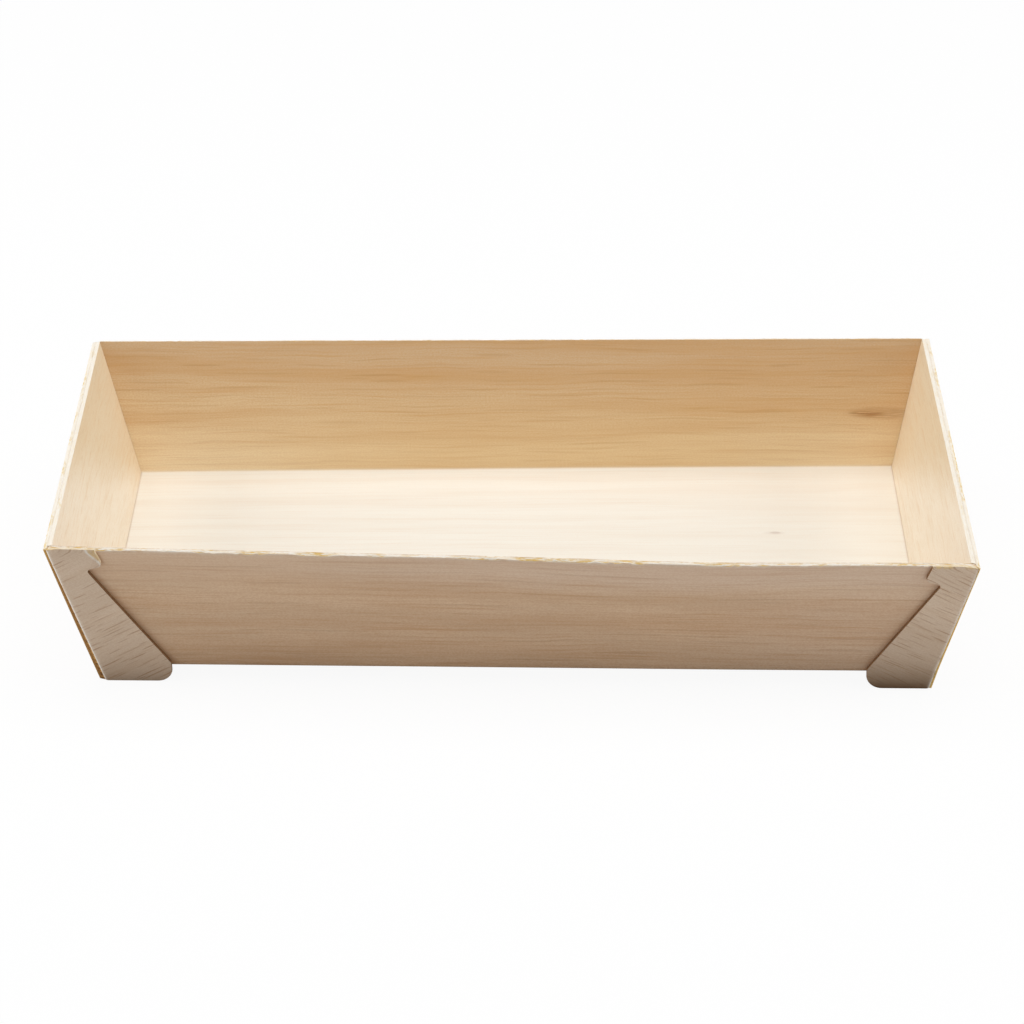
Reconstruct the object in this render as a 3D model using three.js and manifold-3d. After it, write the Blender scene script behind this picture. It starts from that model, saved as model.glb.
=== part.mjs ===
// A sushi container of thin wood veneer: a folded trough closed at each end by an inner panel
// and by an outer strip that wraps both corners and stands on the table.
// Millimetres, +Z up, length along X, front along -Y, origin on the table under the middle.
import * as THREE from 'three';
import { mergeVertices } from 'three/addons/utils/BufferGeometryUtils.js';
import Module from 'manifold-3d';

// Overall sizes, over the outermost edges of the rim
const rimLength = 215;
const rimWidth = 127;
const rimHeight = 38;

// How far the walls lean outwards from upright
const longWallLean = THREE.MathUtils.degToRad(15);
const endWallLean = THREE.MathUtils.degToRad(15);

// Veneer thicknesses and the glue between two layers
const troughVeneer = 1.0;
const panelVeneer = 1.0;
const stripVeneer = 0.85;
const glueLine = 0.2;

// The trough: room under its floor, and the inside radius of its two folds
const floorClearance = 3.9;
const foldRadius = 0.5;

// The inner end panels stand in the trough with this much room all round
const panelClearance = 0.2;

// Veneer left uncut at the bottom of each corner kerf of an end strip
const foldWeb = 0.25;

// The flaps of an end strip, measured along the long wall from the rim corner of the flap,
// and down the wall from the rim: a nose, a notch under it for the rim of a lid, and a foot
const noseTopReach = 10.8;
const noseTipReach = 12.4;
const noseTipDepth = 4.2;
const noseTipRadius = 0.9;
const notchReach = 8.9;
const notchDepth = 5.7;
const notchRadius = 0.6;
const footReach = 25.9;
const footSideHeight = 5.6;
const footCornerRadius = 3.5;

// Facets in each rounded corner
const cornerFacets = 6;

const sides = [-1, 1];
const wasm = await Module();
wasm.setup();

// Distances that several pieces share
const endStack = panelVeneer + glueLine + stripVeneer;
const longStack = troughVeneer + glueLine + stripVeneer;
const innerRimHalfLength = rimLength / 2 - endStack * Math.cos(endWallLean);
const innerRimHalfWidth = rimWidth / 2 - longStack * Math.cos(longWallLean);
const floorTop = floorClearance + troughVeneer;
const stripFromEnd = panelVeneer + glueLine;
const flapFromLongWall = troughVeneer + glueLine;

// Length and width of the inside at a height, moved outwards by an offset square to the wall
function halfLengthAt(height, offset) {
  return innerRimHalfLength - (rimHeight - height) * Math.tan(endWallLean) + offset / Math.cos(endWallLean);
}

function halfWidthAt(height, offset) {
  return innerRimHalfWidth - (rimHeight - height) * Math.tan(longWallLean) + offset / Math.cos(longWallLean);
}

// Closed three.js geometry to a solid that can be joined and cut, and back again
function toSolid(geometry) {
  const bare = geometry.clone();
  bare.deleteAttribute('normal');
  bare.deleteAttribute('uv');
  const merged = mergeVertices(bare);
  return new wasm.Manifold(new wasm.Mesh({
    numProp: 3,
    vertProperties: new Float32Array(merged.attributes.position.array),
    triVerts: new Uint32Array(merged.index.array),
  }));
}

function toGeometry(solid) {
  const mesh = solid.getMesh();
  const geometry = new THREE.BufferGeometry();
  geometry.setAttribute('position', new THREE.BufferAttribute(mesh.vertProperties, 3));
  geometry.setIndex(new THREE.BufferAttribute(mesh.triVerts, 1));
  geometry.computeVertexNormals();
  return geometry;
}

// An outline from corners [x, y, radius], each rounded by an arc that touches both its sides
function roundedOutline(corners) {
  const shape = new THREE.Shape();
  corners.forEach(([x, y, radius], index) => {
    const corner = new THREE.Vector2(x, y);
    if (radius === 0) {
      if (index === 0) shape.moveTo(x, y);
      else shape.lineTo(x, y);
      return;
    }
    const before = corners[index - 1];
    const after = corners[(index + 1) % corners.length];
    const toBefore = new THREE.Vector2(before[0], before[1]).sub(corner).normalize();
    const toAfter = new THREE.Vector2(after[0], after[1]).sub(corner).normalize();
    const halfAngle = Math.acos(toBefore.dot(toAfter)) / 2;
    const tangent = radius / Math.tan(halfAngle);
    const start = corner.clone().addScaledVector(toBefore, tangent);
    const end = corner.clone().addScaledVector(toAfter, tangent);
    const bisector = toBefore.clone().add(toAfter).normalize();
    const centre = corner.clone().addScaledVector(bisector, radius / Math.sin(halfAngle));
    const clockwise = toBefore.cross(toAfter) > 0;
    shape.absarc(
      centre.x,
      centre.y,
      radius,
      Math.atan2(start.y - centre.y, start.x - centre.x),
      Math.atan2(end.y - centre.y, end.x - centre.x),
      clockwise,
    );
  });
  return shape;
}

// An outline in a plane, drawn through a depth that starts at an offset from the plane
function plate(shape, offset, depth, frame) {
  const geometry = new THREE.ExtrudeGeometry(shape, {
    depth,
    bevelEnabled: false,
    curveSegments: cornerFacets,
  });
  geometry.translate(0, 0, offset);
  geometry.applyMatrix4(frame);
  return toSolid(geometry);
}

// A cross-section of the whole tray drawn along its length: [y, z] outlines go along X
function alongLength(shape) {
  const frame = new THREE.Matrix4().makeBasis(
    new THREE.Vector3(0, 1, 0),
    new THREE.Vector3(0, 0, 1),
    new THREE.Vector3(1, 0, 0),
  );
  return plate(shape, -rimLength, 2 * rimLength, frame);
}

// A long section of the tray drawn across its width: [x, z] outlines go along Y
function acrossWidth(shape) {
  const frame = new THREE.Matrix4().makeBasis(
    new THREE.Vector3(1, 0, 0),
    new THREE.Vector3(0, 0, 1),
    new THREE.Vector3(0, -1, 0),
  );
  return plate(shape, -rimWidth, 2 * rimWidth, frame);
}

// Frame of a wall: y up the wall from the inner edge of the rim, z outwards, x along the rim
function wallFrame(outward, lean, rimDistance) {
  const up = outward.clone().multiplyScalar(Math.sin(lean));
  up.z = Math.cos(lean);
  const normal = outward.clone().multiplyScalar(Math.cos(lean));
  normal.z = -Math.sin(lean);
  const along = up.clone().cross(normal);
  const rim = outward.clone().multiplyScalar(rimDistance);
  rim.z = rimHeight;
  return new THREE.Matrix4().makeBasis(along, up, normal).setPosition(rim);
}

// Everything above the table, to trim the feet level
function aboveTable() {
  const shape = new THREE.Shape();
  shape.moveTo(-rimLength, 0);
  shape.lineTo(rimLength, 0);
  shape.lineTo(rimLength, 2 * rimHeight);
  shape.lineTo(-rimLength, 2 * rimHeight);
  return acrossWidth(shape);
}

// The space between the two ends, moved outwards from the inner end faces by an offset
function betweenEnds(offset) {
  const low = -rimHeight;
  const high = 2 * rimHeight;
  const shape = new THREE.Shape();
  shape.moveTo(-halfLengthAt(low, offset), low);
  shape.lineTo(halfLengthAt(low, offset), low);
  shape.lineTo(halfLengthAt(high, offset), high);
  shape.lineTo(-halfLengthAt(high, offset), high);
  return acrossWidth(shape);
}

// Centre of the fold between the floor and the wall, which both of its faces turn round
function foldCentre() {
  const turn = Math.PI / 2 - longWallLean;
  const y = halfWidthAt(floorTop, 0) - foldRadius * Math.tan(turn / 2);
  return { y, z: floorTop + foldRadius };
}

// The space inside the trough, drawn in from its faces by an inset
function insideTrough(inset) {
  const fold = foldCentre();
  const radius = Math.max(foldRadius - inset, 0);
  const high = 2 * rimHeight;
  const shape = new THREE.Shape();
  if (radius > 0) {
    shape.absarc(fold.y, fold.z, radius, -Math.PI / 2, -longWallLean, false);
  } else {
    shape.moveTo(halfWidthAt(floorTop + inset, -inset), floorTop + inset);
  }
  shape.lineTo(halfWidthAt(high, -inset), high);
  shape.lineTo(-halfWidthAt(high, -inset), high);
  if (radius > 0) {
    shape.absarc(-fold.y, fold.z, radius, longWallLean - Math.PI, -Math.PI / 2, false);
  } else {
    shape.lineTo(-halfWidthAt(floorTop + inset, -inset), floorTop + inset);
  }
  return alongLength(shape);
}

// Floor and both long walls: one sheet folded twice, its rim cut square to the walls
function foldedTrough() {
  const fold = foldCentre();
  const outerRadius = foldRadius + troughVeneer;
  const outerRimY = innerRimHalfWidth + troughVeneer * Math.cos(longWallLean);
  const outerRimZ = rimHeight - troughVeneer * Math.sin(longWallLean);
  const shape = new THREE.Shape();
  shape.absarc(fold.y, fold.z, outerRadius, -Math.PI / 2, -longWallLean, false);
  shape.lineTo(outerRimY, outerRimZ);
  shape.lineTo(innerRimHalfWidth, rimHeight);
  shape.absarc(fold.y, fold.z, foldRadius, -longWallLean, -Math.PI / 2, true);
  shape.absarc(-fold.y, fold.z, foldRadius, -Math.PI / 2, longWallLean - Math.PI, true);
  shape.lineTo(-innerRimHalfWidth, rimHeight);
  shape.lineTo(-outerRimY, outerRimZ);
  shape.absarc(-fold.y, fold.z, outerRadius, longWallLean - Math.PI, -Math.PI / 2, false);
  return alongLength(shape).intersect(betweenEnds(panelVeneer));
}

// Inner layer of one end: a plate cut to the section of the trough that it stands in
function endPanel(end) {
  const frame = wallFrame(new THREE.Vector3(end, 0, 0), endWallLean, innerRimHalfLength);
  const shape = new THREE.Shape();
  shape.moveTo(-rimWidth, -2 * rimHeight);
  shape.lineTo(rimWidth, -2 * rimHeight);
  shape.lineTo(rimWidth, 0);
  shape.lineTo(-rimWidth, 0);
  return plate(shape, 0, panelVeneer, frame).intersect(insideTrough(panelClearance));
}

// Outer layer of one end, as far as the kerfs at its corners
function endPlate(end) {
  const frame = wallFrame(new THREE.Vector3(end, 0, 0), endWallLean, innerRimHalfLength);
  const bottom = 2 * rimHeight;
  const halfWidthDown = (depth) => {
    const drop = depth * Math.cos(endWallLean) + stripFromEnd * Math.sin(endWallLean);
    return halfWidthAt(rimHeight - drop, flapFromLongWall + foldWeb);
  };
  const shape = new THREE.Shape();
  shape.moveTo(-halfWidthDown(bottom), -bottom);
  shape.lineTo(halfWidthDown(bottom), -bottom);
  shape.lineTo(halfWidthDown(0), 0);
  shape.lineTo(-halfWidthDown(0), 0);
  return plate(shape, stripFromEnd, stripVeneer, frame);
}

// One flap: from the kerf at the corner to the nose, the notch, the slanted edge and the foot
function flap(end, side) {
  const frame = wallFrame(new THREE.Vector3(0, side, 0), longWallLean, innerRimHalfWidth);
  const kerfDown = (depth) => {
    const drop = depth * Math.cos(longWallLean) + flapFromLongWall * Math.sin(longWallLean);
    return halfLengthAt(rimHeight - drop, stripFromEnd + foldWeb);
  };
  const table = rimHeight / Math.cos(longWallLean) - flapFromLongWall * Math.tan(longWallLean);
  const rimCorner = kerfDown(0);
  const corners = [
    [rimCorner, 0, 0],
    [rimCorner - noseTopReach, 0, 0],
    [rimCorner - noseTipReach, -noseTipDepth, noseTipRadius],
    [rimCorner - notchReach, -notchDepth, notchRadius],
    [rimCorner - footReach, footSideHeight - table, 0],
    [rimCorner - footReach, -table, footCornerRadius],
    [kerfDown(table), -table, 0],
  ];
  const mirror = -end * side;
  const outline = corners.map(([x, y, radius]) => [mirror * x, y, radius]);
  return plate(roundedOutline(outline), flapFromLongWall, stripVeneer, frame);
}

// Outer strip of one end: the end plate and both flaps, joined by the web left in each kerf
function endStrip(end) {
  let strip = endPlate(end);
  sides.forEach((side) => {
    strip = strip.add(flap(end, side));
  });
  return strip.intersect(aboveTable());
}

function piece(name, solid, colour, roughness) {
  const material = new THREE.MeshStandardMaterial({ color: colour, roughness, metalness: 0 });
  const mesh = new THREE.Mesh(toGeometry(solid), material);
  mesh.name = name;
  return mesh;
}

const container = new THREE.Group();
container.add(piece('folded_trough', foldedTrough(), '#e7d2b0', 0.7));
sides.forEach((end) => {
  const hand = end < 0 ? 'left' : 'right';
  container.add(piece(`${hand}_end_panel`, endPanel(end), '#efdfc4', 0.75));
  container.add(piece(`${hand}_end_strip`, endStrip(end), '#d8c5aa', 0.8));
});

export default container;
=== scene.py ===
from math import acos, cos, pi, radians, sin, tan

import bmesh
import bpy
import numpy as np
from mathutils import Matrix, Vector, noise


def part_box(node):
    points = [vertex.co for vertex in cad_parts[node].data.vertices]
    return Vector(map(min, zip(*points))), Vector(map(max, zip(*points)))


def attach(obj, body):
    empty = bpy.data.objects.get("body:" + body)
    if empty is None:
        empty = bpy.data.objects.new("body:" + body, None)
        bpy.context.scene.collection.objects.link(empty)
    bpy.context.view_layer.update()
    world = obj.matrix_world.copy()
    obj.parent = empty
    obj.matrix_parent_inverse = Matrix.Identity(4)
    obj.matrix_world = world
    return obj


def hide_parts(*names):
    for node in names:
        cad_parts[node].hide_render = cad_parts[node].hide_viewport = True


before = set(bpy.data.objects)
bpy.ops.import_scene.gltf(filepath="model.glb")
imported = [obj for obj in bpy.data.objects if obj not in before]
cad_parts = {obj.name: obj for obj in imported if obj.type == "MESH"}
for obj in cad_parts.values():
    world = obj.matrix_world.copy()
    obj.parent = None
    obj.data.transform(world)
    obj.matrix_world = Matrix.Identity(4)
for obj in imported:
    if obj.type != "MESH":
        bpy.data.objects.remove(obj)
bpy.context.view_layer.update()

METRES = 0.001


def box_in_millimetres(node):
    low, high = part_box(node)
    return low / METRES, high / METRES


trough_low, trough_high = box_in_millimetres("folded_trough")
strip_high = box_in_millimetres("right_end_strip")[1]

# Overall sizes, from the frame
RIM_HEIGHT = trough_high.z
FLOOR_UNDERSIDE = trough_low.z
HALF_LENGTH = strip_high.x
HALF_WIDTH = strip_high.y

# How far the walls lean outwards from upright
LONG_LEAN = radians(15)
END_LEAN = radians(15)

# Veneer thicknesses, the glue line, and what shows of it once it is pressed
TROUGH_VENEER = 1.0
PANEL_VENEER = 1.0
STRIP_VENEER = 0.85
GLUE_LINE = 0.2
GLUE_SHOWN = 0.03

# Inside radius of the trough's folds, and the crack round the end panels
FOLD_RADIUS = 0.5
PANEL_CRACK = 0.13

# Kerfs at the corners of an end strip: the veneer left uncut, how much wider they open from the rim
# down to the table, the slope of their side on the plate, and how far inside their sides start
FOLD_WEB = {"left": 0.1, "right": 0.66}
KERF_OPENS = {"left": 0.65, "right": 0.42}
KERF_SLOPE = 0.3
KERF_START = 0.06

# Flap of an end strip: reach along the wall from the rim corner, depth down from the rim, and radius
NOSE_TOP_REACH = 10.8
NOSE_TIP = (12.4, 4.2, 1.2)
NOTCH = (8.9, 5.5, 0.8)
FOOT_REACH = 25.9
FOOT_SIDE_HEIGHT = 5.6
FOOT_CORNER_RADIUS = 3.5

# The flaps were cut by hand, so their noses, notches and feet reach further at one end
NOSE_LONGER = {"left": 0.5, "right": 0.15}
NOTCH_LONGER = {"left": 0.05, "right": -0.25}
FOOT_LONGER = {"left": 0.75, "right": -0.7}

# The rims of the front flaps are trimmed level with the long wall and those of the back flaps a
# little lower, and their outer corners are pressed thin
FLAP_LEVEL = {"front": 0.85, "back": -0.45}
FLAP_THINNED = 0.42

# The slanting edge of a flap may be cut at a slope, and then reaches this much further at the wall
SLANT_CUT = {"left": 0.15, "right": 0.0}

# The front foot of a strip is free below the floor, and splays outwards by this much at the table,
# from this height down
FOOT_SPLAY = {"left": 0.0, "right": 0.7}
SPLAY_HEIGHT = 6.0

# The outer fibres of one front flap have broken off at the upper corner of its nose: along the rim,
# down the edge, and how deep
NOSE_CHIP = (2.0, 3.5, 0.42)
CHIPPED_END = "left"

# The side of the chip as a share of its size, how torn the chip looks, and the painted highlight on
# the pale ridge round it: its place and half its width as shares of the chip's size, and its strength
CHIP_SIDE = 0.12
CHIP_TORN = 0.55
CHIP_HIGHLIGHT_LINE = (1.08, 0.15, 0.8)

# The grain of a flap slants up towards the middle of the tray, because it is folded from the end
FLAP_GRAIN_SLANT = radians(27.5)

# How this tray has settled out of true: moves of the four corners at the table and at the rim,
# by end and side, and how far two long edges bow outwards at the middle
TABLE_MOVES = {
    ("left", "front"): (0.8, 2.1, 0.0),
    ("right", "front"): (1.0, -0.6, 0.0),
    ("left", "back"): (1.6, -4.0, 0.0),
    ("right", "back"): (0.9, 3.0, 0.0),
}
RIM_MOVES = {
    ("left", "front"): (0.0, 4.8, 0.0),
    ("right", "front"): (-0.3, 0.0, -1.3),
    ("left", "back"): (0.0, -2.6, -0.6),
    ("right", "back"): (-1.4, 0.0, 0.0),
}
FRONT_RIM_BOW = 0.9
BACK_FOLD_BOW = 0.6

# The front rim was cut low on this stretch: its middle, half its length and its depth
LOW_STRETCH = (45.0, 32.0, 0.7)

# Cut edges: how far their corners are worn round, how deep fibres are torn out of a rim, the share
# of that on the rims of the strips and of the panels, how torn a panel's rim looks beside the
# others, and how scarce the torn spots are on the rims of each veneer
EDGE_WEAR = 0.1
TORN_DEPTH = 0.34
STRIP_TORN_SHARE = 0.5
PANEL_TORN_SHARE = 0.3
PANEL_TORN_LOOK = 0.5
LONG_RIM_SCARCE = -0.1
PANEL_RIM_SCARCE = 0.26
STRIP_RIM_SCARCE = -0.05

# Length of the torn patches along a rim and of their fibres, the same for the thin lines on rims,
# and the share of a rim's thickness that a line fades over
TORN_PATCH = 9.0
TORN_FIBRE = 1.3
LINE_PATCH = 7.0
LINE_FIBRE = 1.1
LINE_FADE = 0.4

# How far the rims of the flaps and of the plates are worn down at the back corners, and over what
# reach; how far the ends of the trough's rims are trimmed below the panels', and how near to them
CORNER_WEAR = 0.6
CORNER_REACH = 2.0
PLATE_CORNER_WEAR = 0.3
PLATE_CORNER_REACH = 0.9
END_TRIM = 0.05
END_TRIM_REACH = 0.2

# Corners rubbed pale, partly real wear and partly painted highlight where rounded edges and rolled
# folds catch light: strength, start and reach below the long rims, reach on the plates beside the
# kerfs, strength on the plates' lips, and start and reach on the flaps
RIM_RUBBED_HIGHLIGHT = (0.4, 0.1, 0.3)
PLATE_HIGHLIGHT_REACH = 0.25
LIP_HIGHLIGHT = 0.9
FLAP_HIGHLIGHT = (0.15, 0.2)

# The faces of a sheet follow the losses of its rim: the reach over which they fade, and the band
# below the rim that they are worked out for
RIM_EASE = 1.2
RIM_BAND = 7.0

# The inner corner of the front rim and the joint between the two layers of the end rims show as
# thin broken lines, at most this strong
FRONT_RIM_LINE = 0.75
END_RIM_LINE = 0.22

# Painted shade near the table: its share at the foot of the flaps and of the long walls, the height
# it fades over, and how much of it the plates show; the share of painted shade at the strips' rims;
# and the share of painted shade on the long walls beside the flaps
FOOT_SHADE = {"left": 0.5, "right": 1.0}
WALL_SHADE = 0.28
SHADE_HEIGHT = 7.0
PLATE_SHADE = 0.4
RIM_SHADE = {"left": 0.12, "right": 0.0}
FLAP_SHADE = {"left": 0.42, "right": 0.26}

# The top of a kerf is torn open and shows golden fibres, in this share, which fades over this
# distance down from the rim. Below that it has dark specks, in this share. At the right end the golden
# tone runs down the whole kerf with few specks: painted light on the plate's edge there
KERF_TORN_AND_LIT_SHARE = 0.9
KERF_TORN_AND_LIT_DOWN = {"left": 5.0, "right": 26.0}
KERF_SPECKS = {"left": 0.75, "right": 0.2}

# The fold of a flap is rolled over by this much, within this distance of its kerf
ROLL_DEPTH = 0.42
ROLL_REACH = 0.7

# How far down the corners of the flaps are thinned, how far from the kerf their rims come to their
# full level, and the share and reach of the torn fibres beside the kerf
THINNED_REACH = 1.6
LEVEL_REACH = 2.5
KERF_RIM_TORN = (0.7, 0.8)

# How far apart pieces and sides lie in the patterns, so that no two look the same
RIMS_APART = 700.0
PANELS_APART = 40.0
STRIPS_APART = 500.0
FLAPS_APART = 90.0

# Points of the sheets: columns along the trough and across an end, rows round a fold and over the
# floor, and the distance of the rows on a long wall and on a panel
TROUGH_COLUMNS = 481
END_COLUMNS = 241
FOLD_ROWS = 7
FLOOR_ROWS = 37
WALL_ROW_STEP = 2.4
PANEL_ROW_STEP = 2.2

# Rows close to a cut edge, where the even rows start, and the columns of a flap close to its kerf,
# as shares of its width
CLOSE_ROWS = (0.0, 0.12, 0.35, 0.8)
EVEN_ROWS_FROM = 1.6
KERF_SHARES = (0.0, 0.006, 0.015, 0.03)

# Edges sharper than this are shaded as edges, and bare wood has this little sheen
SHARP_EDGE = radians(40)
SHEEN = 0.25

# Lamps in watts, and the strength of the white surround
OVERHEAD_POWER = 6.12
LEFT_POWER = 5.25
RIGHT_POWER = 4.75
SURROUND = 0.305

# The table: half its size in metres, how far it lies below the feet, and how white the camera sees it
TABLE_REACH = 3.0
TABLE_GAP = 0.02
TABLE_WHITE = 0.93

# The view: angles in degrees, distance and height of the aim in millimetres, lens in millimetres
VIEW_ELEVATION = 26.47
VIEW_AZIMUTH = -0.27
VIEW_ROLL = 0.10
VIEW_DISTANCE = 1008.5
VIEW_AIM_RIGHT = -0.07
VIEW_AIM_UP = 16.70
LENS = 144.14
SENSOR = 36.0

INNER_HALF_LENGTH = HALF_LENGTH - (PANEL_VENEER + GLUE_LINE + STRIP_VENEER) * cos(END_LEAN)
INNER_HALF_WIDTH = HALF_WIDTH - (TROUGH_VENEER + GLUE_LINE + STRIP_VENEER) * cos(LONG_LEAN)
FLOOR_TOP = FLOOR_UNDERSIDE + TROUGH_VENEER
ENDS = {"left": -1, "right": 1}
SIDES = {"front": -1, "back": 1}


def half_length_at(height, offset=0.0):
    """Half the inside length at a height, moved outwards by an offset square to the end wall."""
    return INNER_HALF_LENGTH - (RIM_HEIGHT - height) * tan(END_LEAN) + offset / cos(END_LEAN)


def half_width_at(height, offset=0.0):
    """Half the inside width at a height, moved outwards by an offset square to the long wall."""
    return INNER_HALF_WIDTH - (RIM_HEIGHT - height) * tan(LONG_LEAN) + offset / cos(LONG_LEAN)


# The folds of the trough turn round these centres
FOLD_TURN = pi / 2 - LONG_LEAN
FOLD_Y = half_width_at(FLOOR_TOP) - FOLD_RADIUS * tan(FOLD_TURN / 2)
FOLD_Z = FLOOR_TOP + FOLD_RADIUS
FOLD_ARC = (FOLD_RADIUS + TROUGH_VENEER / 2) * FOLD_TURN
WALL_FOOT = FOLD_Z - FOLD_RADIUS * cos(FOLD_TURN)
WALL_RUN = (RIM_HEIGHT - WALL_FOOT) / cos(LONG_LEAN)
SHEET_HALF = FOLD_Y + FOLD_ARC + WALL_RUN


# The rim corners that the flaps start from, and how far down the table lies along a flap
GLUED = TROUGH_VENEER + GLUE_LINE
KERF_OFFSET = {end: PANEL_VENEER + GLUE_LINE + FOLD_WEB[end] for end in ENDS}
RIM_CORNER = {
    end: half_length_at(RIM_HEIGHT - GLUED * sin(LONG_LEAN), KERF_OFFSET[end]) for end in ENDS
}
FLAP_DEPTH = RIM_HEIGHT / cos(LONG_LEAN) - GLUED * tan(LONG_LEAN)


def settle(points):
    """Moves points of the true tray to where they lie on this one."""
    x, y, z = points.T
    right = (x / HALF_LENGTH + 1) / 2
    back = (y / HALF_WIDTH + 1) / 2
    up = z / RIM_HEIGHT
    moved = points.copy()
    for height, moves in ((1 - up, TABLE_MOVES), (up, RIM_MOVES)):
        for (end, side), move in moves.items():
            share = height * (right if end == "right" else 1 - right)
            share = share * (back if side == "back" else 1 - back)
            moved += share[:, None] * np.array(move)
    belly = 1 - (x / HALF_LENGTH) ** 2
    moved[:, 1] -= FRONT_RIM_BOW * belly * up * (1 - back)
    moved[:, 1] += BACK_FOLD_BOW * belly * (1 - up) * back
    middle, reach, low = LOW_STRETCH
    moved[:, 2] -= low * np.exp(-(((x - middle) / reach) ** 2)) * up * np.clip(1 - 2 * back, 0, 1)
    return moved


def noise_at(along, layer, seed):
    """Noise at places along a rim and through its thickness."""
    return np.array([noise.noise((place, part, seed)) for place, part in zip(along, layer)])


def ragged(along, layer, scarce, seed):
    """Where fibres are torn out of a rim, 0 to 1."""
    patch = noise_at(along / TORN_PATCH, layer * 0.7, seed)
    fibre = noise_at(along / TORN_FIBRE, layer * 2.6, seed + 5.0)
    return np.minimum(np.maximum(3.0 * (patch - scarce), 0) * np.maximum(0.7 + 1.6 * fibre, 0), 1)


def worn(layer, inner=1.0, outer=1.0):
    """How far a cut edge is worn back at each level of the thickness, by shares at its corners."""
    return EDGE_WEAR * np.where(layer > 0.5, outer, inner) * np.abs(2 * layer - 1) ** 3


def rim_loss(torn, layer):
    """How much of a rim is lost to torn fibres, which go from its outer corner first."""
    return TORN_DEPTH * torn * (0.1 + 0.9 * layer)


def hairline(along, layer, share, seed):
    """A thin broken line of bare fibres along the inner corner of a rim, up to a share."""
    patch = noise_at(along / LINE_PATCH, 0 * layer, seed)
    fibre = noise_at(along / LINE_FIBRE, 0 * layer, seed + 5.0)
    broken = np.clip(0.5 + 1.1 * patch + 0.8 * fibre, 0, 1)
    return share * broken * np.maximum(1 - layer / LINE_FADE, 0)


class Sheet:
    """The closed surface of a sheet of veneer, from a grid along it, across it and through it."""

    def __init__(self, along, across, layers):
        shape = (len(along), len(across), len(layers))
        steps = np.indices(shape)
        skin = np.zeros(shape, bool)
        for axis, count in enumerate(shape):
            skin |= (steps[axis] == 0) | (steps[axis] == count - 1)
        self.index = np.full(shape, -1)
        self.index[skin] = np.arange(skin.sum())
        self.step = [steps[axis][skin] for axis in range(3)]
        self.along = np.asarray(along, float)[self.step[0]]
        self.across = np.asarray(across, float)[self.step[1]]
        self.layer = np.asarray(layers, float)[self.step[2]]

    def faces(self):
        """Quads, and for each the side that it lies on, (axis, 0 at the start or 1 at the end),
        and its steps along the other two axes."""
        quads = []
        cells = []
        for axis in range(3):
            for end in (0, 1):
                grid = np.take(self.index, -end, axis=axis)
                corners = (grid[:-1, :-1], grid[1:, :-1], grid[1:, 1:], grid[:-1, 1:])
                quads.extend(np.stack(corners, -1).reshape(-1, 4).tolist())
                steps = np.ndindex(grid.shape[0] - 1, grid.shape[1] - 1)
                cells.extend(((axis, end), first, second) for first, second in steps)
        return quads, cells


def make_piece(node, sheet, points, grain, marks, finishes, finish_at):
    """A mesh of a sheet at its settled points, with its grain and marks, in place of a CAD node.
    Finish_at gives the finish of each cell of the sheet, by its name in finishes."""
    name = f"{node}_veneer"
    quads, cells = sheet.faces()
    mesh = bpy.data.meshes.new(name)
    mesh.from_pydata((settle(points) * METRES).tolist(), [], quads)
    for finish in finishes.values():
        mesh.materials.append(finish)
    order = list(finishes)
    for polygon, cell in zip(mesh.polygons, cells):
        polygon.material_index = order.index(finish_at(*cell))
    mesh.attributes.new("sheet", "FLOAT_VECTOR", "POINT").data.foreach_set("vector", grain.ravel())
    for mark_name, amounts in marks.items():
        mesh.attributes.new(mark_name, "FLOAT", "POINT").data.foreach_set("value", amounts)
    tidy = bmesh.new()
    tidy.from_mesh(mesh)
    bmesh.ops.recalc_face_normals(tidy, faces=tidy.faces)
    tidy.to_mesh(mesh)
    tidy.free()
    mesh.shade_smooth()
    mesh.set_sharp_from_angle(angle=SHARP_EDGE)
    piece = bpy.data.objects.new(name, mesh)
    bpy.context.scene.collection.objects.link(piece)
    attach(piece, "root")
    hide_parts(node)


INNER_FACE = (2, 0)
OUTER_FACE = (2, 1)
LAYERS = (0.0, 0.15, 0.5, 0.85, 1.0)


def face_or_edge(face, first, second):
    """The finish of a cell of a plain sheet: that of its face, or that of the cut edges."""
    return face if face in (INNER_FACE, OUTER_FACE) else "edge"


def edge_steps(length, step):
    """Places along a length that lie close together at both of its ends."""
    close = np.array(CLOSE_ROWS)
    inside = np.linspace(EVEN_ROWS_FROM, length - EVEN_ROWS_FROM, max(2, round(length / step)))
    return np.concatenate([close, inside, length - close[::-1]])


def near(distance, reach):
    """1 at an edge, falling off over a reach."""
    return np.exp(-np.maximum(distance, 0) / reach)


def arithmetic(operation):
    """A method that adds a Math node."""
    return lambda value, other: value.finish.maths(operation, value, other)


class Value:
    """A socket in a finish. Arithmetic on it adds Math nodes."""

    def __init__(self, finish, socket):
        self.finish = finish
        self.socket = socket

    def __rsub__(self, other):
        return self.finish.maths("SUBTRACT", other, self)

    def __abs__(self):
        return self.finish.maths("ABSOLUTE", self, 0.0)

    __add__ = __radd__ = arithmetic("ADD")
    __mul__ = __rmul__ = arithmetic("MULTIPLY")
    __sub__ = arithmetic("SUBTRACT")
    __truediv__ = arithmetic("DIVIDE")
    __pow__ = arithmetic("POWER")


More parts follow.
